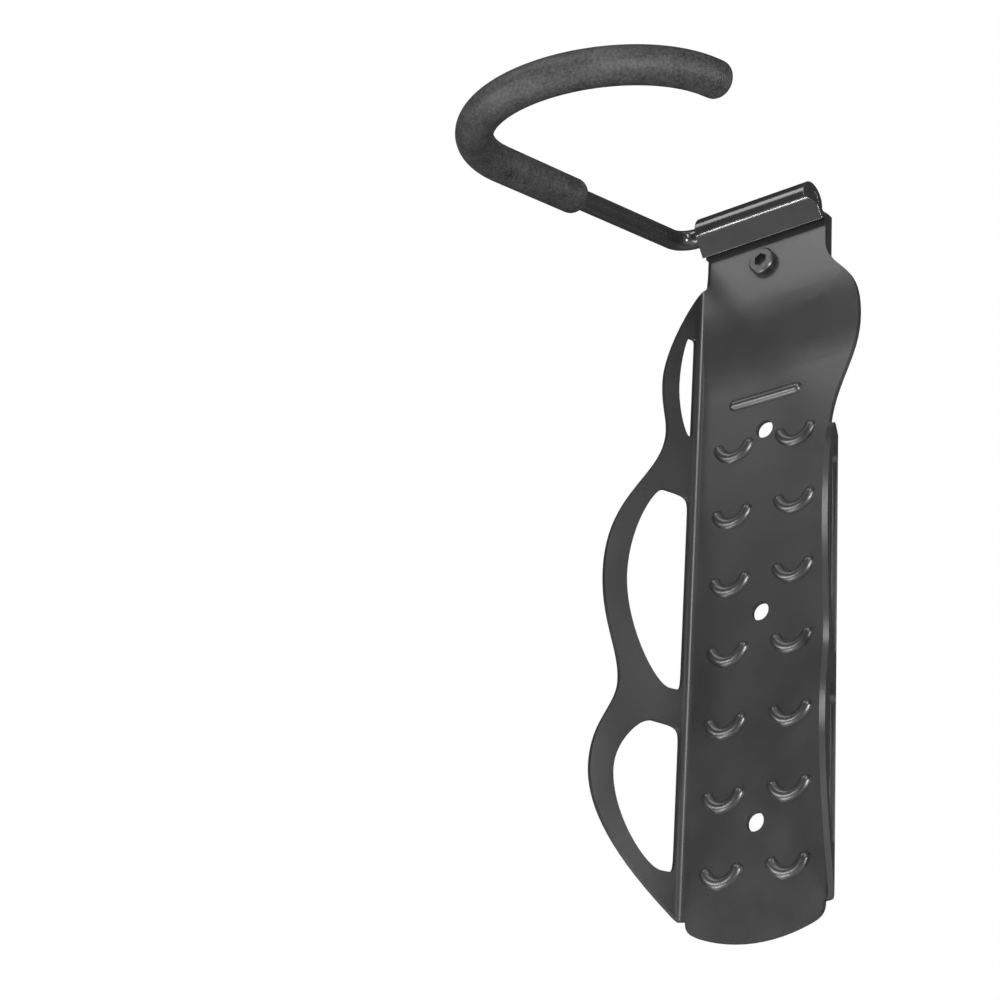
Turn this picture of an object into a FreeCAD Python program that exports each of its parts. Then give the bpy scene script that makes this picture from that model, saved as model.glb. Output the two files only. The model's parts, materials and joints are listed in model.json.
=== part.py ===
# Bicycle wall rack: a folded steel wall plate with two scalloped tyre guards, a clamp strap
# rolled round the hook's pivot, the clamp screw, and a fold-up hook bent from round bar with a
# foam sleeve.
# Frame: +X right when facing the wall, +Y into the wall, +Z up. Origin: on the wall face
# (the plate's back), half way between the highest and the lowest wall-screw hole.
import FreeCAD, Part
import math
import os

import Sketcher

doc = FreeCAD.newDocument("bicycle_wall_rack")
Vector = FreeCAD.Vector

# ---------------------------------------------------------------- driving dimensions (mm, deg)
DIMENSIONS = [
    ("gauge", 2.0, "thickness of the plate's steel sheet"),
    ("strap_gauge", 3.0, "thickness of the clamp strap"),
    ("channel_half", 30.0, "centre line to the fold corner of a guard"),
    ("bend_inside", 3.5, "inside radius of every fold"),
    ("bend_angle", 65.0, "angle each guard is folded up from the plate"),
    ("plate_dip", 121.0, "depth of the rounded bottom edge at its middle"),
    ("dip_radius", 63.0, "radius of the rounded bottom edge"),
    ("neck_half", 27.4, "centre line to either edge of the neck and of the strap"),
    ("neck_blend", 6.0, "height of the blend between neck and left guard"),
    ("ear_reach", 41.2, "centre line to the ear's outermost point"),
    ("ear_height", 120.5, "height of the ear's outermost point"),
    ("ear_foot", 67.5, "height where the ear returns to the fold"),
    ("relief_gap", 2.0, "gap between the ear's foot and the right guard"),
    ("lobe1_height", 103.0, "height of the small upper lobe's crest"),
    ("lobe1_reach", 15.8, "crest of the upper lobe, along the guard"),
    ("neck1_height", 82.0, "height of the hollow below the upper lobe"),
    ("neck1_reach", 13.3, "hollow below the upper lobe, along the guard"),
    ("lobe2_height", 17.0, "height of the middle lobe's crest"),
    ("lobe2_reach", 37.2, "crest of the middle lobe, along the guard"),
    ("neck2_height", -25.5, "height of the hollow below the middle lobe"),
    ("neck2_reach", 28.6, "hollow below the middle lobe, along the guard"),
    ("lobe3_height", -60.0, "height of the lower lobe's crest"),
    ("lobe3_reach", 38.6, "crest of the lower lobe, along the guard"),
    ("guard_foot", -110.0, "height of the guards' lower end, above the rounded corners"),
    ("corner_start", 22.0, "centre line to where a lower corner starts to round"),
    ("guard_band", 9.3, "width of the band outside a large window"),
    ("small_band", 6.6, "width of the band outside the small window"),
    ("window1_drop", 23.0, "left guard's top end down to the top of the small window"),
    ("window2_rise", 39.5, "crest of the middle lobe up to the top of its window"),
    ("window2_foot", 1.8, "hollow below the middle lobe up to the foot of its window"),
    ("window3_drop", 12.0, "the same hollow down to the top of the lowest window"),
    ("window3_foot", 33.0, "crest of the lower lobe down to the foot of its window"),
    ("window_foot", 2.5, "fold corner to the straight side of a window"),
    ("hole_span", 156.0, "highest to lowest wall-screw hole"),
    ("middle_rise", 2.5, "middle wall-screw hole above half way"),
    ("wall_hole_bore", 7.2, "bore of the wall-screw holes"),
    ("row_pitch", 28.0, "pitch of the grip ridges up the plate"),
    ("row_count", 7, "rows of grip ridges"),
    ("top_row", 73.0, "height of the highest row of grip ridges"),
    ("column_half", 13.5, "centre line to a column of grip ridges"),
    ("ridge_curve", 7.0, "radius of a curved ridge's centre line"),
    ("ridge_sweep", 136.0, "angle a curved ridge covers"),
    ("ridge_round", 2.6, "radius of a ridge's section"),
    ("ridge_rise", 1.6, "height of a ridge above the plate"),
    ("bar_height", 92.0, "height of the straight ridge"),
    ("bar_length", 32.5, "length of the straight ridge"),
    ("step_run", 45.0, "height over which the neck steps forward"),
    ("rod_bore", 8.0, "diameter of the hook's round bar"),
    ("rod_play", 0.06, "radial clearance of the bar in the strap"),
    ("seat_gap", 0.05, "clearance between faces that rest on each other"),
    ("pivot_height", 171.3, "height of the hook's pivot axis"),
    ("lip_angle", 38.0, "how far the strap's roll passes the front"),
    ("roll_right", 23.0, "right end of the strap's roll"),
    ("top_drop", 6.8, "pivot axis down to the plate's top edge"),
    ("shoulder_drop", 19.3, "pivot axis down to where the ear leaves the neck"),
    ("guard_drop", 22.3, "pivot axis down to the left guard's top end"),
    ("screw_drop", 20.7, "pivot axis down to the clamp screw"),
    ("leg_drop", 7.8, "clamp screw down to the strap leg's lower edge"),
    ("leg_clear", 1.8, "leg's lower edge down to where the neck's step ends"),
    ("screw_thread", 6.0, "nominal thread of the clamp screw"),
    ("collar_wall", 1.25, "wall of the tapped collar on the strap's leg"),
    ("collar_play", 0.2, "radial clearance of the collar in the plate"),
    ("head_width", 11.0, "diameter of the screw's head"),
    ("head_rise", 2.8, "height of the screw's head"),
    ("screw_bevel", 0.7, "bevel round the screw's head and tip"),
    ("tip_inset", 0.35, "screw's tip short of the wall face"),
    ("key_flats", 5.0, "hex socket across flats"),
    ("key_depth", 2.2, "depth of the hex socket"),
    ("arm_offset", 38.0, "centre line to the hook's arm, on the left"),
    ("arm_bend", 8.0, "centre-line radius of the bend beside the strap"),
    ("arm_reach", 120.0, "pivot axis to the centre of the hook's turn"),
    ("turn_radius", 46.5, "centre-line radius of the hook's turn"),
    ("tip_lift", 6.0, "how much short of a half circle the turn stops"),
    ("tip_straight", 6.5, "straight stretch from the turn to the sleeve's tip"),
    ("droop", 15.0, "angle of the hook below level in use"),
    ("sleeve_start", 73.0, "pivot axis to the start of the sleeve"),
    ("sleeve_wall", 2.8, "wall of the foam sleeve"),
    ("sleeve_cap", 3.0, "closed end of the foam sleeve"),
    ("sleeve_play", 0.05, "radial clearance of the sleeve on the bar"),
    ("sleeve_round", 3.0, "rounding of the sleeve's closed end"),
    ("plate_top", "=pivot_height - top_drop", "height of the plate's top edge, inside the strap"),
    ("neck_shoulder", "=pivot_height - shoulder_drop", "height where the ear leaves the neck"),
    ("left_guard_top", "=pivot_height - guard_drop", "height of the left guard's top end"),
    ("screw_height", "=pivot_height - screw_drop", "height of the clamp screw"),
    ("leg_foot", "=screw_height - leg_drop", "height of the strap leg's lower edge"),
    ("step_end", "=leg_foot - leg_clear", "height where the neck's step ends"),
    ("step_start", "=step_end - step_run", "height where the neck starts to step forward"),
]

sheet = doc.addObject("Spreadsheet::Sheet", "sizes")
for row, (alias, value, meaning) in enumerate(DIMENSIONS, start=1):
    sheet.set("A%d" % row, alias)
    sheet.set("B%d" % row, str(value))
    sheet.setAlias("B%d" % row, alias)
    sheet.set("C%d" % row, meaning)
doc.recompute()


def size(alias):
    """A driving dimension, read from the sheet."""
    return float(sheet.get(alias))


# ---------------------------------------------------------------- drawing helpers
def new_body(label):
    body = doc.addObject("PartDesign::Body", label)
    body.Label = label
    return body


def origin_plane(body, role):
    return [item for item in body.Origin.OriginFeatures if item.Role == role][0]


def new_sketch(body, name, role, offset=None):
    sketch = body.newObject("Sketcher::SketchObject", name)
    sketch.AttachmentSupport = (origin_plane(body, role), [""])
    sketch.MapMode = "FlatFace"
    if offset is not None:
        sketch.AttachmentOffset = offset
    return sketch


def line(sketch, start, end, construction=False):
    piece = Part.LineSegment(Vector(*start, 0), Vector(*end, 0))
    return sketch.addGeometry(piece, construction)


def polyline(sketch, points, closed=False):
    pairs = list(zip(points, points[1:]))
    if closed:
        pairs.append((points[-1], points[0]))
    for start, end in pairs:
        line(sketch, start, end)


def polar(centre, radius, degrees):
    angle = math.radians(degrees)
    return (centre[0] + radius * math.cos(angle), centre[1] + radius * math.sin(angle))


def arc(sketch, centre, radius, start, end):
    """Arc between two angles in degrees, either way round."""
    middle = (start + end) / 2
    points = [Vector(*polar(centre, radius, angle), 0) for angle in (start, middle, end)]
    sketch.addGeometry(Part.Arc(*points), False)


def circle(sketch, centre, radius):
    piece = Part.Circle(Vector(*centre, 0), Vector(0, 0, 1), radius)
    return sketch.addGeometry(piece, False)


def curve(sketch, start, start_handle, end_handle, end):
    """One cubic Bezier, kept as a spline of degree three."""
    spline = Part.BSplineCurve()
    poles = [Vector(*point, 0) for point in (start, start_handle, end_handle, end)]
    spline.buildFromPolesMultsKnots(poles, [4, 4], [0.0, 1.0], False, 3)
    sketch.addGeometry(spline, False)


def pad(body, name, sketch, length, both_ways=False, reverse=False):
    feature = body.newObject("PartDesign::Pad", name)
    feature.Profile = sketch
    feature.Midplane = both_ways
    feature.Reversed = reverse
    bind(feature, "Length", length)
    doc.recompute()
    return feature


def pocket(body, name, sketch, length, both_ways=True):
    """Cut, refused when it takes nothing away."""
    before = body.Shape.Volume
    feature = body.newObject("PartDesign::Pocket", name)
    feature.Profile = sketch
    feature.Midplane = both_ways
    bind(feature, "Length", length)
    doc.recompute()
    if body.Shape.Volume > before - 1e-3:
        raise RuntimeError("the cut %s removes nothing" % name)
    return feature


def bind(feature, property_name, value):
    """A text is an expression on the sheet; a number is set as it is."""
    if isinstance(value, str):
        feature.setExpression(property_name, value)
    else:
        setattr(feature, property_name, value)


# ---------------------------------------------------------------- places worked out from the sizes
gauge = size("gauge")
bend_inside = size("bend_inside")
front = -gauge                                     # the plate's front face
strap_gauge = size("strap_gauge")
neck_back = -(strap_gauge + size("seat_gap"))      # the neck lies on the strap's leg
neck_front = neck_back - gauge
bore_radius = size("rod_bore") / 2 + size("rod_play")
roll_radius = bore_radius + strap_gauge
pivot = (-roll_radius, size("pivot_height"))       # Y and Z of the hook's pivot axis
fold_setback = bend_inside * math.tan(math.radians(size("bend_angle") / 2))
fold_start = size("channel_half") - fold_setback   # where the flat of the plate ends
dip = size("plate_dip")
guard_foot = size("guard_foot")


# ---------------------------------------------------------------- wall plate
CUT_MARGIN = 12.0      # how far a trimming outline runs past the piece
LOBE_START = 0.30      # handle at a hollow, as a share of the rise to the next crest
LOBE_END = 0.50        # handle at a crest, as a share of the same rise
EAR_START = 0.42       # handles where the ear leaves and meets the plate's edge
EAR_CREST = 0.58       # handle above the ear's outermost point
CORNER_FLAT = 0.55     # handle along the bottom edge at a rounded corner
CORNER_STEEP = 0.60    # handle up the side at a rounded corner
WINDOW_CORNER = 0.22   # rounding beside the fold, as a share of a window's width
WINDOW_EASE = 0.11     # how far the rounding runs up a window's straight side
WINDOW_PEAK = 0.42     # highest point of a window, as a share of its width
WINDOW_PULL = 0.30     # handles along a window's top and foot
WINDOW_BULGE = 0.50    # handles along a window's bulging side
GUARD_TOP_OUT = 0.30   # handles of the left guard's curved top
GUARD_TOP_DOWN = 0.16
SHELF_WIDTH = 0.25     # level top of the right guard, as a share of its lobe
SHELF_PULL = 0.58      # handle beyond that level top
TAIL_DROP = 0.42       # handles from the lower lobe to the guard's foot
TAIL_OUT = 0.46
TAIL_RISE = 0.25


def plate_profile(sketch):
    """Side view of the sheet: flat, then stepped forward by its own thickness at the neck."""
    bottom = -dip - CUT_MARGIN
    top = size("plate_top")
    start, end = size("step_start"), size("step_end")
    ease = (end - start) / 2
    polyline(sketch, [(0, start), (0, bottom), (front, bottom), (front, start)])
    polyline(sketch, [(neck_back, end), (neck_back, top), (neck_front, top), (neck_front, end)])
    for low, high in ((0, neck_back), (front, neck_front)):
        curve(sketch, (low, start), (low, start + ease), (high, end - ease), (high, end))


def plate_outline(sketch):
    """Everything outside the plate's front view, as one frame-shaped region."""
    top = size("plate_top") + CUT_MARGIN
    side = size("ear_reach") + CUT_MARGIN
    bottom = -dip - 2 * CUT_MARGIN
    polyline(sketch, [(-side, bottom), (side, bottom), (side, top), (-side, top)], closed=True)
    neck = size("neck_half")
    blend_foot = size("left_guard_top")
    blend_top = blend_foot + size("neck_blend")
    middle = (blend_foot + blend_top) / 2
    shoulder, foot = size("neck_shoulder"), size("ear_foot")
    crest = (size("ear_reach"), size("ear_height"))
    upper, lower = shoulder - crest[1], crest[1] - foot
    inner_top = top - CUT_MARGIN / 2
    line(sketch, (-fold_start, guard_foot), (-fold_start, blend_foot))
    curve(sketch, (-fold_start, blend_foot), (-fold_start, middle), (-neck, middle), (-neck, blend_top))
    line(sketch, (-neck, blend_top), (-neck, inner_top))
    line(sketch, (-neck, inner_top), (neck, inner_top))
    line(sketch, (neck, inner_top), (neck, shoulder))
    curve(sketch, (neck, shoulder), (neck, shoulder - EAR_START * upper),
          (crest[0], crest[1] + EAR_CREST * upper), crest)
    curve(sketch, crest, (crest[0], crest[1] - EAR_START * lower),
          (fold_start, foot + EAR_START * lower), (fold_start, foot))
    line(sketch, (fold_start, foot), (fold_start, guard_foot))
    dip_radius = size("dip_radius")
    centre = (0, dip_radius - dip)
    half = math.degrees(math.asin(size("corner_start") / dip_radius))
    arc(sketch, centre, dip_radius, -90 + half, -90 - half)
    start = polar(centre, dip_radius, -90 + half)
    climb = guard_foot - start[1]
    run = CORNER_FLAT * climb
    for way in (-1, 1):
        curve(sketch, (way * start[0], start[1]),
              (way * (start[0] + run), start[1] + run * math.tan(math.radians(half))),
              (way * fold_start, guard_foot - CORNER_STEEP * climb), (way * fold_start, guard_foot))


def guard_frame(side):
    """Flat of a guard: x runs out along it from the fold corner, y is up."""
    lean = math.radians(90.0 - size("bend_angle"))
    along = Vector(side * math.sin(lean), -math.cos(lean), 0)
    up = Vector(0, 0, 1)
    rotation = FreeCAD.Rotation(along, up, along.cross(up), "XYZ")
    return FreeCAD.Placement(Vector(side * size("channel_half"), front, 0), rotation)


def guard_section(sketch, side):
    """Fold and guard seen from above, as far out as the tallest lobe."""
    centre = (side * fold_start, front - bend_inside)
    turn = size("bend_angle")
    start = 90.0
    end = 90.0 - side * turn
    tangent = math.radians(end - side * 90.0)
    outer = bend_inside + gauge
    reach = max(size("lobe2_reach"), size("lobe3_reach")) + CUT_MARGIN / 4
    inner_end = polar(centre, bend_inside, end)
    outer_end = polar(centre, outer, end)
    run = (reach * math.cos(tangent), reach * math.sin(tangent))
    inner_tip = (inner_end[0] + run[0], inner_end[1] + run[1])
    outer_tip = (outer_end[0] + run[0], outer_end[1] + run[1])
    arc(sketch, centre, bend_inside, start, end)
    arc(sketch, centre, outer, start, end)
    line(sketch, polar(centre, bend_inside, start), polar(centre, outer, start))
    polyline(sketch, [inner_end, inner_tip, outer_tip, outer_end])


def lobe_edge(sketch, stations):
    """Wavy free edge through crests and hollows, each met square to the guard's rise."""
    for (reach_a, height_a), (reach_b, height_b) in zip(stations, stations[1:]):
        rise = height_a - height_b
        share_a, share_b = (LOBE_START, LOBE_END) if reach_b > reach_a else (LOBE_END, LOBE_START)
        curve(sketch, (reach_a, height_a), (reach_a, height_a - share_a * rise),
              (reach_b, height_b + share_b * rise), (reach_b, height_b))


def window(sketch, top, bottom, crest, crest_height):
    """D-shaped window: straight along the fold, bulging towards the guard's edge."""
    foot = size("window_foot")
    width = crest - foot
    corner = WINDOW_CORNER * width
    upper, lower = top - crest_height, crest_height - bottom
    start = (foot, top - WINDOW_EASE * upper - corner)
    end = (foot, bottom + WINDOW_EASE * lower + corner)
    high = (foot + WINDOW_PEAK * width, top)
    low = (foot + corner, bottom)
    widest = (crest, crest_height)
    line(sketch, end, start)
    curve(sketch, start, (foot, top), (foot, top), high)
    curve(sketch, high, (high[0] + WINDOW_PULL * (crest - high[0]), top),
          (crest, crest_height + WINDOW_BULGE * upper), widest)
    curve(sketch, widest, (crest, crest_height - WINDOW_BULGE * lower),
          (low[0] + WINDOW_PULL * (crest - low[0]), bottom), low)
    curve(sketch, low, (foot, bottom), (foot, bottom), end)


def large_windows(sketch):
    band = size("guard_band")
    neck2 = size("neck2_height")
    crest2, crest3 = size("lobe2_height"), size("lobe3_height")
    window(sketch, crest2 + size("window2_rise"), neck2 + size("window2_foot"),
           size("lobe2_reach") - band, crest2)
    window(sketch, neck2 - size("window3_drop"), crest3 - size("window3_foot"),
           size("lobe3_reach") - band, crest3)


def guard_trim(sketch, side):
    """What is cut from a guard: all beyond its wavy edge, and its windows."""
    beyond = max(size("lobe2_reach"), size("lobe3_reach")) + CUT_MARGIN
    crest2 = (size("lobe2_reach"), size("lobe2_height"))
    hollow2 = (size("neck2_reach"), size("neck2_height"))
    crest3 = (size("lobe3_reach"), size("lobe3_height"))
    tail = crest3[1] - guard_foot
    if side < 0:
        top = size("left_guard_top")
        crest1 = (size("lobe1_reach"), size("lobe1_height"))
        hollow1 = (size("neck1_reach"), size("neck1_height"))
        rise = top - crest1[1]
        curve(sketch, (0, top), (GUARD_TOP_OUT * crest1[0], top - GUARD_TOP_DOWN * rise),
              (crest1[0], crest1[1] + LOBE_START * rise), crest1)
        lobe_edge(sketch, [crest1, hollow1, crest2, hollow2, crest3])
        window(sketch, top - size("window1_drop"), hollow1[1], crest1[0] - size("small_band"), crest1[1])
    else:
        top = size("ear_foot") - size("relief_gap")
        shelf = (SHELF_WIDTH * crest2[0], top)
        rise = top - crest2[1]
        line(sketch, (0, top), shelf)
        curve(sketch, shelf, (SHELF_PULL * crest2[0], top),
              (crest2[0], crest2[1] + LOBE_END * rise), crest2)
        lobe_edge(sketch, [crest2, hollow2, crest3])
    curve(sketch, crest3, (crest3[0], crest3[1] - TAIL_DROP * tail),
          (TAIL_OUT * crest3[0], guard_foot + TAIL_RISE * tail), (0, guard_foot))
    polyline(sketch, [(0, guard_foot), (0, guard_foot - CUT_MARGIN),
                      (beyond, guard_foot - CUT_MARGIN), (beyond, top + CUT_MARGIN),
                      (0, top + CUT_MARGIN), (0, top)])
    large_windows(sketch)
    return top


def add_guard(body, side, name):
    section = new_sketch(body, name + "_section", "XY_Plane",
                         FreeCAD.Placement(Vector(0, 0, guard_foot), FreeCAD.Rotation()))
    guard_section(section, side)
    trim = new_sketch(body, name + "_trim", "XY_Plane", guard_frame(side))
    top = guard_trim(trim, side)
    pad(body, name + "_fold", section, top - guard_foot)
    pocket(body, name + "_edge", trim, "6 * sizes.gauge")


def ball(body, name, centre, radius):
    """A round end: half a disc turned about a line across the plate."""
    spot = FreeCAD.Placement(Vector(centre[0], centre[2], -centre[1]), FreeCAD.Rotation())
    sketch = new_sketch(body, name + "_disc", "XZ_Plane", spot)
    arc(sketch, (0, 0), radius, -90, 90)
    line(sketch, (0, radius), (0, -radius))
    turn = body.newObject("PartDesign::Revolution", name)
    turn.Profile = sketch
    turn.ReferenceAxis = (sketch, ["V_Axis"])
    turn.Angle = 360
    return turn


def curved_ridge(body, name, across, height):
    """One stamped ridge, a round bead bent into an arc that opens upwards."""
    radius = size("ridge_round")
    curve_radius = size("ridge_curve")
    depth = front + radius - size("ridge_rise")
    hub = height + curve_radius / 2
    spot = FreeCAD.Placement(Vector(0, 0, across), FreeCAD.Rotation())
    sketch = new_sketch(body, name + "_bead", "YZ_Plane", spot)
    circle(sketch, (depth, hub - curve_radius), radius)
    line(sketch, (0, hub), (1, hub), construction=True)
    turn = body.newObject("PartDesign::Revolution", name)
    turn.Profile = sketch
    turn.ReferenceAxis = (sketch, ["Axis0"])
    turn.Midplane = True
    turn.setExpression("Angle", "sizes.ridge_sweep")
    parts = [turn]
    half = size("ridge_sweep") / 2
    for tag, angle in (("_left", -90 - half), ("_right", -90 + half)):
        end = polar((across, hub), curve_radius, angle)
        parts.append(ball(body, name + tag, (end[0], depth, end[1]), radius))
    doc.recompute()
    return parts


def repeat_rows(body, name, originals):
    rows = body.newObject("PartDesign::LinearPattern", name)
    rows.Originals = originals
    rows.Direction = (origin_plane(body, "Z_Axis"), [""])
    rows.Reversed = True
    rows.setExpression("Length", "sizes.row_pitch * (sizes.row_count - 1)")
    rows.setExpression("Occurrences", "sizes.row_count")
    body.Tip = rows
    doc.recompute()
    return rows


def straight_ridge(body):
    """The long bead across the plate, a stadium turned about its own length."""
    radius = size("ridge_round")
    depth = front + radius - size("ridge_rise")
    half = size("bar_length") / 2 - radius
    spot = FreeCAD.Placement(Vector(0, size("bar_height"), -depth), FreeCAD.Rotation())
    sketch = new_sketch(body, "straight_ridge_half", "XZ_Plane", spot)
    arc(sketch, (-half, 0), radius, 180, 90)
    line(sketch, (-half, radius), (half, radius))
    arc(sketch, (half, 0), radius, 90, 0)
    line(sketch, (half + radius, 0), (-half - radius, 0))
    turn = body.newObject("PartDesign::Revolution", "straight_ridge")
    turn.Profile = sketch
    turn.ReferenceAxis = (sketch, ["H_Axis"])
    turn.Angle = 360
    doc.recompute()


def flush_back(body):
    """Beads that pass through the sheet are cut level with its back."""
    sketch = new_sketch(body, "back_face", "YZ_Plane")
    depth = 2 * size("ridge_round")
    low, high = -dip, size("plate_top")
    polyline(sketch, [(0, low), (depth, low), (depth, high), (0, high)], closed=True)
    feature = body.newObject("PartDesign::Pocket", "level_back")
    feature.Profile = sketch
    feature.Midplane = True
    feature.setExpression("Length", "2 * sizes.ear_reach")
    doc.recompute()


def bore_plate(body):
    """Three wall-screw holes and the hole that the strap's tapped collar stands in."""
    sketch = new_sketch(body, "wall_holes", "XZ_Plane")
    half = size("hole_span") / 2
    for height in (half, size("middle_rise"), -half):
        circle(sketch, (0, height), size("wall_hole_bore") / 2)
    collar = size("screw_thread") / 2 + size("collar_wall") + size("collar_play")
    circle(sketch, (0, size("screw_height")), collar)
    pocket(body, "bored_holes", sketch, "8 * sizes.gauge")


def make_plate():
    body = new_body("wall_plate")
    profile = new_sketch(body, "side_profile", "YZ_Plane")
    plate_profile(profile)
    pad(body, "sheet", profile, "2 * sizes.ear_reach + 10", both_ways=True)
    outline = new_sketch(body, "front_outline", "XZ_Plane")
    plate_outline(outline)
    pocket(body, "blank", outline, "10 * sizes.gauge")
    for column, across in (("left", -size("column_half")), ("right", size("column_half"))):
        parts = curved_ridge(body, column + "_ridge", across, size("top_row"))
        repeat_rows(body, column + "_column", parts)
    straight_ridge(body)
    flush_back(body)
    bore_plate(body)
    add_guard(body, -1, "left_guard")
    add_guard(body, 1, "right_guard")
    return body


# ---------------------------------------------------------------- clamp strap
def strap_profile(sketch):
    """Leg behind the neck, roll over the bar, lip down to the neck's front."""
    leg_foot = size("leg_foot")
    last = 180 + size("lip_angle")
    heading = math.radians(last + 90)
    inner_start = polar(pivot, bore_radius, last)
    outer_start = polar(pivot, roll_radius, last)
    lip_gap = size("seat_gap")
    run = (neck_front - lip_gap - inner_start[0]) / math.cos(heading)
    step = (run * math.cos(heading), run * math.sin(heading))
    inner_end = (inner_start[0] + step[0], inner_start[1] + step[1])
    outer_end = (outer_start[0] + step[0], outer_start[1] + step[1])
    arc(sketch, pivot, bore_radius, 0, last)
    arc(sketch, pivot, roll_radius, 0, last)
    polyline(sketch, [inner_start, inner_end, outer_end, outer_start])
    polyline(sketch, [polar(pivot, bore_radius, 0), (-strap_gauge, leg_foot), (0, leg_foot),
                      polar(pivot, roll_radius, 0)])


def make_strap():
    body = new_body("clamp_strap")
    profile = new_sketch(body, "strap_profile", "YZ_Plane",
                         FreeCAD.Placement(Vector(0, 0, -size("neck_half")), FreeCAD.Rotation()))
    strap_profile(profile)
    pad(body, "rolled_sheet", profile, "2 * sizes.neck_half")
    end = new_sketch(body, "narrowed_end", "XZ_Plane")
    roll_right, right = size("roll_right"), size("neck_half") + CUT_MARGIN
    level, top = size("pivot_height"), size("pivot_height") + 2 * roll_radius
    ramp = size("neck_half") - roll_right
    polyline(end, [(roll_right, level - gauge), (roll_right, top), (right, top),
                   (right, level - gauge - ramp - 1.0), (right - CUT_MARGIN, level - gauge - ramp)],
             closed=True)
    pocket(body, "shoulder", end, "8 * sizes.roll_right")
    collar = new_sketch(body, "collar_ring", "XZ_Plane",
                        FreeCAD.Placement(Vector(0, 0, strap_gauge), FreeCAD.Rotation()))
    thread = size("screw_thread") / 2
    circle(collar, (0, size("screw_height")), thread + size("collar_wall"))
    pad(body, "tapped_collar", collar, "sizes.gauge")
    bore = new_sketch(body, "tapped_bore", "XZ_Plane")
    circle(bore, (0, size("screw_height")), thread)
    pocket(body, "tapped_hole", bore, "6 * sizes.gauge")
    return body


# ---------------------------------------------------------------- clamp screw
def make_screw():
    body = new_body("clamp_screw")
    shank_play = size("seat_gap")
    radius = size("screw_thread") / 2 - shank_play
    tip = -size("seat_gap") - size("tip_inset")
    seat = neck_front - shank_play
    half = new_sketch(body, "screw_half", "YZ_Plane",
                      FreeCAD.Placement(Vector(0, size("screw_height"), 0), FreeCAD.Rotation()))
    head = size("head_width") / 2
    face = seat - size("head_rise")
    bevel = size("screw_bevel")
    polyline(half, [(face, 0), (face, head - bevel), (face + bevel, head), (seat, head),
                    (seat, radius), (tip - bevel / 2, radius), (tip, radius - bevel / 2), (tip, 0)],
             closed=True)
    turn = body.newObject("PartDesign::Revolution", "turned_screw")
    turn.Profile = half
    turn.ReferenceAxis = (half, ["H_Axis"])
    turn.Angle = 360
    doc.recompute()
    socket = new_sketch(body, "hex_socket", "XZ_Plane",
                        FreeCAD.Placement(Vector(0, size("screw_height"), -face), FreeCAD.Rotation()))
    corner = size("key_flats") / math.sqrt(3)
    polyline(socket, [polar((0, 0), corner, 60 * turn_index + 30) for turn_index in range(6)],
             closed=True)
    pocket(body, "key_socket", socket, "sizes.key_depth", both_ways=False)
    return body


# ---------------------------------------------------------------- hook
def hook_plane():
    """Plane of the bent bar: x along the pivot, y out along the arm."""
    droop = math.radians(size("droop"))
    along = Vector(1, 0, 0)
    out = Vector(0, -math.cos(droop), -math.sin(droop))
    rotation = FreeCAD.Rotation(along, out, along.cross(out), "XYZ")
    return FreeCAD.Placement(Vector(0, pivot[0], pivot[1]), rotation)


def tip_point(ahead, aside=0.0):
    """A point beyond the end of the round turn, and to its outer side."""
    radius, lift = size("turn_radius"), math.radians(size("tip_lift"))
    across, out = polar((radius - size("arm_offset"), size("arm_reach")), radius + aside,
                        size("tip_lift"))
    return across + ahead * math.sin(lift), out - ahead * math.cos(lift)


def arm_turn(sketch, straight):
    """The round turn at the hook's end and the short straight stretch to its tip."""
    radius = size("turn_radius")
    arc(sketch, (radius - size("arm_offset"), size("arm_reach")), radius, 180, size("tip_lift"))
    line(sketch, tip_point(0), tip_point(straight))


def sweep_bar(body, name, kind, profile, path):
    feature = body.newObject(kind, name)
    feature.Profile = profile
    feature.Spine = (path, [""])
    doc.recompute()
    return feature


def make_rod():
    body = new_body("hook_rod")
    arm, bend, reach = size("arm_offset"), size("arm_bend"), size("arm_reach")
    inside_end = size("roll_right") - 4 * size("seat_gap")
    path = new_sketch(body, "bar_line", "XY_Plane", hook_plane())
    line(path, (inside_end, 0), (bend - arm, 0))
    arc(path, (bend - arm, bend), bend, -90, -180)
    line(path, (-arm, bend), (-arm, reach))
    arm_turn(path, size("tip_straight") - size("sleeve_cap"))
    spot = FreeCAD.Placement(Vector(pivot[0], pivot[1], inside_end), FreeCAD.Rotation())
    profile = new_sketch(body, "bar_section", "YZ_Plane", spot)
    ring = circle(profile, (0, 0), size("rod_bore") / 2)
    profile.addConstraint(Sketcher.Constraint("Diameter", ring, size("rod_bore")))
    profile.renameConstraint(0, "thickness")
    profile.setExpression("Constraints.thickness", "sizes.rod_bore")
    sweep_bar(body, "bent_bar", "PartDesign::AdditivePipe", profile, path)
    return body


def sleeve_start_frame():
    """Plane square to the arm where the sleeve starts."""
    droop = math.radians(size("droop"))
    start = size("sleeve_start")
    out = Vector(0, -math.cos(droop), -math.sin(droop))
    centre = Vector(-size("arm_offset"), pivot[0], pivot[1]) + out * start
    across = Vector(1, 0, 0)
    rotation = FreeCAD.Rotation(across, out.cross(across), out, "XYZ")
    return FreeCAD.Placement(centre, rotation)


def round_tip(body, radius):
    """Closed end of the sleeve, turned about the bar with a rounded rim."""
    rim, end, lift = size("sleeve_round"), size("tip_straight"), size("tip_lift")
    sketch = new_sketch(body, "tip_half", "XY_Plane", hook_plane())
    line(sketch, tip_point(end), tip_point(end, radius - rim))
    arc(sketch, tip_point(end - rim, radius - rim), rim, lift - 90, lift)
    polyline(sketch, [tip_point(end - rim, radius), tip_point(end - rim), tip_point(end)])
    line(sketch, tip_point(end), tip_point(end - rim), construction=True)
    turn = body.newObject("PartDesign::Revolution", "rounded_tip")
    turn.Profile = sketch
    turn.ReferenceAxis = (sketch, ["Axis0"])
    turn.Angle = 360
    doc.recompute()


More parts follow.
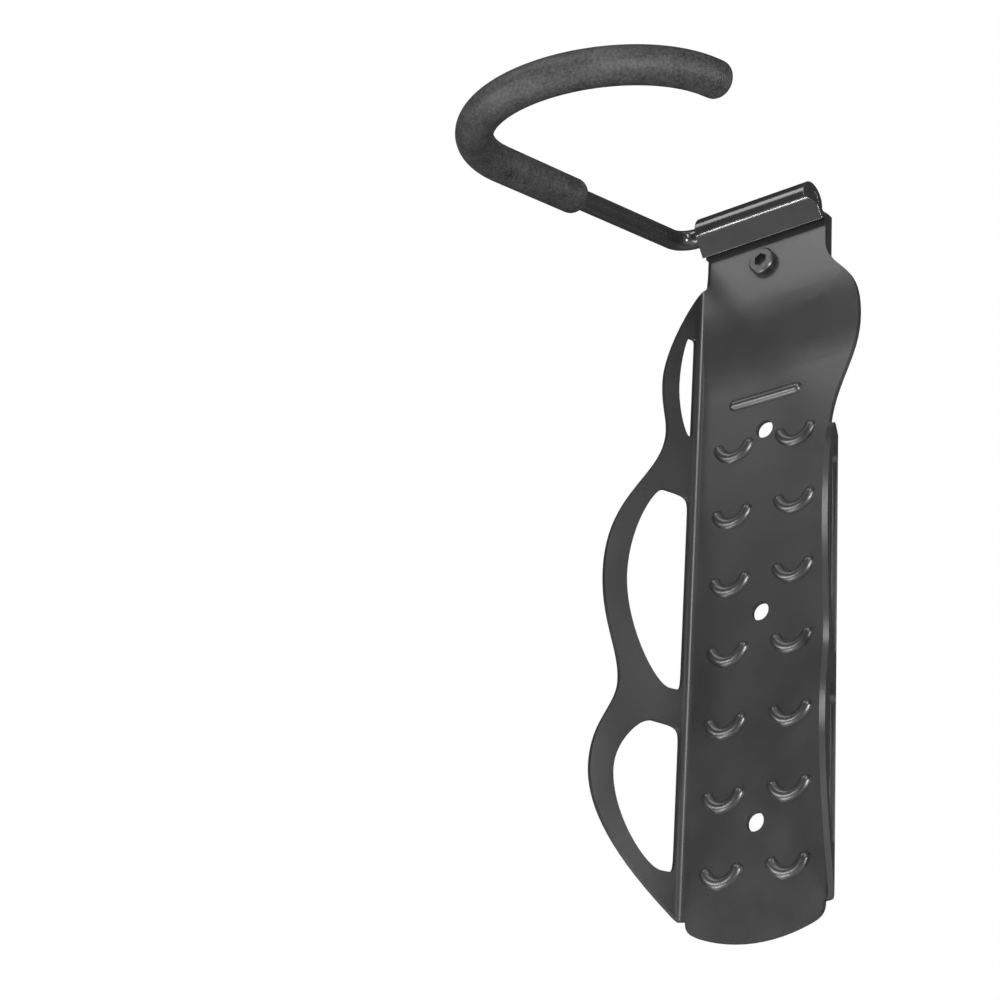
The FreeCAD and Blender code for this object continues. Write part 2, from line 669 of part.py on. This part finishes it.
def make_sleeve():
    body = new_body("hook_sleeve")
    arm, reach, start = size("arm_offset"), size("arm_reach"), size("sleeve_start")
    straight = size("tip_straight")
    bore = size("rod_bore") / 2 + size("sleeve_play")
    outer = size("rod_bore") / 2 + size("sleeve_wall")
    for name, kind, radius, end in (
            ("foam", "PartDesign::AdditivePipe", outer, straight - size("sleeve_round")),
            ("foam_bore", "PartDesign::SubtractivePipe", bore, straight - size("sleeve_cap"))):
        path = new_sketch(body, name + "_line", "XY_Plane", hook_plane())
        line(path, (-arm, start), (-arm, reach))
        arm_turn(path, end)
        profile = new_sketch(body, name + "_section", "XY_Plane", sleeve_start_frame())
        circle(profile, (0, 0), radius)
        sweep_bar(body, name, kind, profile, path)
        if kind == "PartDesign::AdditivePipe":
            round_tip(body, outer)
    return body


# ---------------------------------------------------------------- build, check, write
subparts = [make_plate(), make_strap(), make_screw(), make_rod(), make_sleeve()]
doc.recompute()

for item in doc.Objects:
    if "Invalid" in item.State or "Error" in item.State:
        raise RuntimeError("%s did not build: %s" % (item.Name, item.State))

os.makedirs("parts", exist_ok=True)
for body in subparts:
    shape = body.Shape
    if shape.isNull() or not shape.isValid() or len(shape.Solids) != 1:
        raise RuntimeError("%s is not one valid solid" % body.Label)
    shape.exportStep("parts/%s.step" % body.Label)
    print("%-12s %9.1f mm3  %s" % (body.Label, shape.Volume, shape.BoundBox))
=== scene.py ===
import json
import math

import bpy
from mathutils import Matrix, Vector


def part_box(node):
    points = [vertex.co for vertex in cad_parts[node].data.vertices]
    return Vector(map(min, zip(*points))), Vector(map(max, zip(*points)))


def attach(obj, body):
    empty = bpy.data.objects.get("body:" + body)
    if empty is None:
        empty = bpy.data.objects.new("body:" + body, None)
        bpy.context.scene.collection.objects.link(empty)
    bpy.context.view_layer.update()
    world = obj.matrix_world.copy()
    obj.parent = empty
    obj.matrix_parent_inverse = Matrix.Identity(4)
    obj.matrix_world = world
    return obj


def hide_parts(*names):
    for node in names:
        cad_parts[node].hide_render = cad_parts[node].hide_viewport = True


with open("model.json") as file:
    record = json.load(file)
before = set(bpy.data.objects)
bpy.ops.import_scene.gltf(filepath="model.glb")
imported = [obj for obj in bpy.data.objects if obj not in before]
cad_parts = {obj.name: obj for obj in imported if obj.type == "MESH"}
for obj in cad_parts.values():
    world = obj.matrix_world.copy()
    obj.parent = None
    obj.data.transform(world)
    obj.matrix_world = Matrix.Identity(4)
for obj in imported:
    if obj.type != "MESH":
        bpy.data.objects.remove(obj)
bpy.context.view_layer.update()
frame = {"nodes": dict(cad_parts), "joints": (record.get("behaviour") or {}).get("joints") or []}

MM = 0.001


# ------------------------------------------------------------------ shader maths
class Value:
    """A shader socket that adds Math nodes when it meets an operator."""

    def __init__(self, paint, socket):
        self.paint = paint
        self.socket = socket

    def math(self, operation, other):
        return self.paint.node("ShaderNodeMath", {"operation": operation}, self, other)

    def __add__(self, other):
        return self.math("ADD", other)

    __radd__ = __add__

    def __mul__(self, other):
        return self.math("MULTIPLY", other)

    __rmul__ = __mul__


class Paint:
    """One material's node tree."""

    def __init__(self, name):
        self.material = bpy.data.materials.new(name)
        self.material.use_nodes = True
        self.tree = self.material.node_tree
        self.tree.nodes.clear()

    def node(self, kind, settings=None, *inputs, out=0, **named):
        made = self.tree.nodes.new(kind)
        for key, value in (settings or {}).items():
            if key == "stops":
                self.set_stops(made.color_ramp, value)
            else:
                setattr(made, key, value)
        for place, value in [*enumerate(inputs), *named.items()]:
            key = place.replace("_", " ") if isinstance(place, str) else place
            socket = made.inputs[key]
            if isinstance(value, Value):
                self.tree.links.new(value.socket, socket)
            else:
                socket.default_value = value
        return Value(self, made.outputs[out])

    def set_stops(self, ramp, stops):
        while len(ramp.elements) < len(stops):
            ramp.elements.new(0.5)
        for element, (position, shade) in zip(ramp.elements, stops):
            element.position = position
            element.color = (shade, shade, shade, 1.0)

    def place(self):
        return self.node("ShaderNodeTexCoord", out="Object")

    def noise(self, size, detail=3.0, roughness=0.5):
        """Noise whose lumps are about this many metres across."""
        return self.node("ShaderNodeTexNoise", None, Vector=self.place(), Scale=1.0 / size,
                         Detail=detail, Roughness=roughness)

    def levels(self, value, *stops):
        return self.node("ShaderNodeValToRGB", {"stops": stops}, value)

    def mix(self, share, first, second):
        made = self.tree.nodes.new("ShaderNodeMix")
        made.data_type = "RGBA"
        for index, value in ((0, share), (6, first), (7, second)):
            if isinstance(value, Value):
                self.tree.links.new(value.socket, made.inputs[index])
            else:
                made.inputs[index].default_value = value
        return Value(self, made.outputs[2])

    def bump(self, height, distance, strength):
        return self.node("ShaderNodeBump", None, Height=height, Distance=distance,
                         Strength=strength)

    def surface(self, **sockets):
        shader = self.tree.nodes.new("ShaderNodeBsdfPrincipled")
        for name, value in sockets.items():
            socket = shader.inputs[name.replace("_", " ")]
            if isinstance(value, Value):
                self.tree.links.new(value.socket, socket)
            else:
                socket.default_value = value
        output = self.tree.nodes.new("ShaderNodeOutputMaterial")
        self.tree.links.new(shader.outputs[0], output.inputs[0])
        return self.material


def grey(level, tint=0.0):
    return (level, level, level * (1.0 + tint), 1.0)


def powder_coat(name, level, gloss):
    """Black powder coat: fine orange peel and faint mottling."""
    paint = Paint(name)
    peel = paint.noise(1.1 * MM, detail=2.0)
    grain = paint.noise(0.35 * MM, detail=3.0)
    mottle = paint.noise(18 * MM, detail=4.0)
    shade = paint.mix(paint.levels(mottle, (0.35, 0.0), (0.7, 1.0)),
                      grey(level * 0.9, 0.02), grey(level * 1.15, 0.02))
    rough = gloss + 0.10 * mottle + 0.06 * grain
    normal = paint.bump(peel * 0.7 + grain * 0.3, 0.05 * MM, 0.55)
    return paint.surface(Base_Color=shade, Roughness=rough, Normal=normal,
                         Coat_Weight=0.15, Coat_Roughness=0.25)


def oxide_steel(name):
    paint = Paint(name)
    grain = paint.noise(0.25 * MM, detail=4.0)
    shade = paint.mix(grain, grey(0.03), grey(0.08))
    return paint.surface(Base_Color=shade, Metallic=0.85, Roughness=0.28 + 0.15 * grain)


def foam_rubber(name):
    """Closed-cell foam: matt, speckled and finely pitted."""
    paint = Paint(name)
    cells = paint.noise(1.1 * MM, detail=5.0, roughness=0.75)
    cloud = paint.noise(7 * MM, detail=3.0)
    speck = paint.levels(cells * 0.75 + cloud * 0.25, (0.40, 0.0), (0.62, 1.0))
    shade = paint.mix(speck, grey(0.007), grey(0.036))
    rough = 0.44 + 0.16 * cloud
    normal = paint.bump(cells, 0.20 * MM, 0.6)
    return paint.surface(Base_Color=shade, Roughness=rough, Normal=normal, Specular_IOR_Level=0.3)


# ------------------------------------------------------------------ steel pieces
WELD_GAP = 0.01 * MM
FLAT_WITHIN = math.radians(0.6)
EDGE_FROM = math.radians(34)
SMOOTH_STEEL = math.radians(50)


def pick(piece):
    bpy.ops.object.select_all(action="DESELECT")
    piece.select_set(True)
    bpy.context.view_layer.objects.active = piece


def softened(node, body, edge, material, name):
    """A copy of a steel piece whose cut edges are rounded, as a thick coating leaves them."""
    source = frame["nodes"][node]
    piece = source.copy()
    piece.data = source.data.copy()
    bpy.context.collection.objects.link(piece)
    piece.name = name
    pick(piece)
    bpy.ops.object.mode_set(mode="EDIT")
    bpy.ops.mesh.select_all(action="SELECT")
    bpy.ops.mesh.remove_doubles(threshold=WELD_GAP)
    bpy.ops.mesh.dissolve_limited(angle_limit=FLAT_WITHIN)
    bpy.ops.object.mode_set(mode="OBJECT")
    bevel = piece.modifiers.new("rounded_edges", "BEVEL")
    bevel.width = edge
    bevel.segments = 2
    bevel.limit_method = "ANGLE"
    bevel.angle_limit = EDGE_FROM
    bpy.ops.object.modifier_apply(modifier="rounded_edges")
    bpy.ops.object.shade_smooth_by_angle(angle=SMOOTH_STEEL)
    weigh = piece.modifiers.new("even_flats", "WEIGHTED_NORMAL")
    weigh.keep_sharp = True
    weigh.weight = 100
    bpy.ops.object.modifier_apply(modifier="even_flats")
    coat(piece, material)
    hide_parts(node)
    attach(piece, body)


def coat(piece, material):
    piece.data.materials.clear()
    piece.data.materials.append(material)


# ------------------------------------------------------------------ foam sleeve
BAR_RADIUS = 4 * MM
BORE_GAP = 0.05 * MM
BORE_RADIUS = BAR_RADIUS + BORE_GAP
TURN_RADIUS = 46.5 * MM
TURN_SWEEP = math.radians(174)
TIP_STRAIGHT = 6.5 * MM
FOAM_ROUND = 3 * MM
TIP_RINGS = (0.6, 0.4)
ROUND_STEPS = 6
RING_POINTS = 64
TURN_STEPS = 96
SMOOTH_FOAM = math.radians(60)

hinge = next(joint for joint in frame["joints"] if joint["name"] == "hook_fold")
foam_low, foam_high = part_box("hook_sleeve")
bar_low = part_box("hook_rod")[0]
PIVOT = Vector(hinge["pos_m"])
ARM = bar_low.x + BAR_RADIUS
FOAM_RADIUS = ARM - foam_low.x
apex = Vector((PIVOT.x, foam_low.y + FOAM_RADIUS, foam_low.z + FOAM_RADIUS)) - PIVOT
OUT = apex.normalized()
ACROSS = Vector((1, 0, 0))
HOOK_NORMAL = ACROSS.cross(OUT)
TURN_REACH = apex.length - TURN_RADIUS
SLEEVE_START = (foam_high.y + FOAM_RADIUS * OUT.z - PIVOT.y) / OUT.y
TURN_LEFT = math.pi - TURN_SWEEP
TIP_WAY = ACROSS * math.sin(TURN_LEFT) - OUT * math.cos(TURN_LEFT)


def stretch(step, scale=1.0):
    """Extrude the chosen ring along a step, then scale it about its own middle."""
    bpy.ops.mesh.extrude_region_move(TRANSFORM_OT_translate={"value": step})
    if scale != 1.0:
        bpy.ops.transform.resize(value=(scale, scale, scale))


def round_over(direction, start_radius, end_radius, rise, closing):
    """A quarter-round from one ring radius to another over a rise along a direction."""
    radius, travel = start_radius, 0.0
    for index in range(1, ROUND_STEPS + 1):
        turn = math.radians(90 * index / ROUND_STEPS)
        share = 1 - math.cos(turn) if closing else math.sin(turn)
        along = math.sin(turn) if closing else 1 - math.cos(turn)
        goal = start_radius + (end_radius - start_radius) * share
        stretch(direction * (rise * along - travel), goal / radius)
        radius, travel = goal, rise * along


def follow_bar(lead):
    """Carry the chosen ring, this far along the arm already, round the turn to the tip."""
    stretch(OUT * (TURN_REACH - SLEEVE_START - lead))
    centre = PIVOT + ACROSS * (ARM + TURN_RADIUS) + OUT * TURN_REACH
    bpy.ops.mesh.spin(steps=TURN_STEPS, angle=TURN_SWEEP, center=centre, axis=HOOK_NORMAL)
    stretch(TIP_WAY * (TIP_STRAIGHT - FOAM_ROUND))


def model_sleeve(material):
    """Foam tube over the bar: bore, rounded shoulder, outer skin and rounded closed tip."""
    start = PIVOT + ACROSS * ARM + OUT * SLEEVE_START
    bpy.ops.object.select_all(action="DESELECT")
    bpy.ops.mesh.primitive_circle_add(vertices=RING_POINTS, radius=BORE_RADIUS, location=start,
                                      rotation=OUT.to_track_quat("Z", "Y").to_euler())
    piece = bpy.context.object
    piece.name = "hook_foam_sleeve"
    bpy.ops.object.transform_apply(location=True, rotation=True, scale=True)
    bpy.ops.object.mode_set(mode="EDIT")
    bpy.ops.mesh.select_all(action="SELECT")
    round_over(OUT, BORE_RADIUS, FOAM_RADIUS, FOAM_ROUND, closing=False)
    follow_bar(FOAM_ROUND)
    round_over(TIP_WAY, FOAM_RADIUS, FOAM_RADIUS - FOAM_ROUND, FOAM_ROUND, closing=True)
    for scale in TIP_RINGS:
        stretch((0, 0, 0), scale)
    bpy.ops.mesh.merge(type="CENTER")
    bpy.ops.mesh.select_all(action="DESELECT")
    bpy.ops.object.mode_set(mode="OBJECT")
    for index in range(RING_POINTS):
        piece.data.vertices[index].select = True
    bpy.ops.object.mode_set(mode="EDIT")
    bpy.ops.mesh.select_mode(type="VERT")
    follow_bar(0)
    bpy.ops.mesh.merge(type="CENTER")
    bpy.ops.mesh.select_all(action="SELECT")
    bpy.ops.mesh.normals_make_consistent(inside=False)
    bpy.ops.object.mode_set(mode="OBJECT")
    bpy.ops.object.shade_smooth_by_angle(angle=SMOOTH_FOAM)
    piece.data.materials.append(material)
    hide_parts("hook_sleeve")
    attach(piece, "hook")


softened("wall_plate", "plate", 0.35 * MM,
         powder_coat("plate_powder_coat", 0.010, 0.27), "coated_wall_plate")
softened("clamp_strap", "plate", 0.30 * MM,
         powder_coat("strap_powder_coat", 0.014, 0.08), "coated_clamp_strap")
softened("clamp_screw", "plate", 0.18 * MM,
         oxide_steel("screw_black_oxide"), "oxide_clamp_screw")
coat(frame["nodes"]["hook_rod"], powder_coat("bar_powder_coat", 0.014, 0.12))
model_sleeve(foam_rubber("sleeve_foam"))


# ------------------------------------------------------------------ stage, light and camera
FLOOR_DROP = 0.75
ROOM_GLOW = 0.07
CAMERA_SPOT = Vector((0.4285, -0.6718, -0.3649))
CAMERA_WAY = Vector((-0.56773, 0.68565, 0.4556))
CAMERA_ROLL = math.radians(4.6)


def aim(direction, roll):
    """Turn that looks along a direction, first level, then rolled about that direction."""
    forward = direction.normalized()
    right = forward.cross(Vector((0, 0, 1))).normalized()
    up = right.cross(forward)
    level = Matrix((right, up, -forward)).transposed()
    return (level @ Matrix.Rotation(roll, 3, "Z")).to_quaternion()


def add_floor():
    bpy.ops.object.select_all(action="DESELECT")
    bpy.ops.mesh.primitive_plane_add(size=6.0, location=(0, 0, -FLOOR_DROP))
    floor = bpy.context.object
    floor.name = "floor"
    paint = Paint("pale_floor")
    floor.data.materials.append(paint.surface(Base_Color=grey(0.8), Roughness=0.7))


def add_softbox(name, spot, target, width, height, power):
    lamp = bpy.data.lights.new(name, "AREA")
    lamp.shape = "RECTANGLE"
    lamp.size, lamp.size_y, lamp.energy = width, height, power
    holder = bpy.data.objects.new(name, lamp)
    bpy.context.collection.objects.link(holder)
    holder.location = spot
    holder.rotation_mode = "QUATERNION"
    holder.rotation_quaternion = aim(Vector(target) - Vector(spot), 0.0)


def light_room():
    """A dim room that looks white to the camera, so the soft boxes shape the steel."""
    world = bpy.data.worlds.new("studio")
    world.use_nodes = True
    bpy.context.scene.world = world
    tree = world.node_tree
    tree.nodes.clear()
    path = tree.nodes.new("ShaderNodeLightPath")
    dim, white = (tree.nodes.new("ShaderNodeBackground") for _ in range(2))
    for backdrop, strength in ((dim, ROOM_GLOW), (white, 1.0)):
        backdrop.inputs["Color"].default_value = (1, 1, 1, 1)
        backdrop.inputs["Strength"].default_value = strength
    mixer = tree.nodes.new("ShaderNodeMixShader")
    output = tree.nodes.new("ShaderNodeOutputWorld")
    tree.links.new(path.outputs["Is Camera Ray"], mixer.inputs[0])
    tree.links.new(dim.outputs[0], mixer.inputs[1])
    tree.links.new(white.outputs[0], mixer.inputs[2])
    tree.links.new(mixer.outputs[0], output.inputs[0])


def add_camera():
    lens = bpy.data.cameras.new("camera")
    lens.sensor_width = 36.0
    lens.lens = 86.4
    lens.clip_start, lens.clip_end = 0.01, 20.0
    camera = bpy.data.objects.new("camera", lens)
    bpy.context.collection.objects.link(camera)
    camera.location = CAMERA_SPOT
    camera.rotation_mode = "QUATERNION"
    camera.rotation_quaternion = aim(CAMERA_WAY, CAMERA_ROLL)
    bpy.context.scene.camera = camera


add_floor()
light_room()
add_softbox("overhead", (0.2, -0.5, 1.8), (0, 0, 0), 1.4, 0.9, 3)
add_softbox("upper_right", (1.4, -0.2, 0.40), (0, 0, 0), 0.8, 0.6, 4)
add_softbox("right_side", (1.3, 0.45, -0.05), (0, -0.1, 0.1), 0.6, 0.5, 12)
add_softbox("plate_card", (-0.68, -1.45, 1.60), (0.02, 0, 0.15), 1.1, 0.8, 16)
add_softbox("fold_strip", (0.60, -1.20, 0.72), (0, 0, 0), 0.12, 1.0, 13)
add_softbox("tip_glow", (0.80, -0.62, -0.30), (0.045, -0.15, 0.13), 0.22, 0.22, 13)
add_softbox("roll_strip", (-0.80, -1.085, -0.25), (0, 0, 0.15), 1.1, 0.09, 17)
add_softbox("low_left", (-0.50, -0.42, -0.66), (0, 0, 0.1), 0.7, 0.16, 6)
add_camera()
bpy.context.scene.view_settings.view_transform = "Standard"
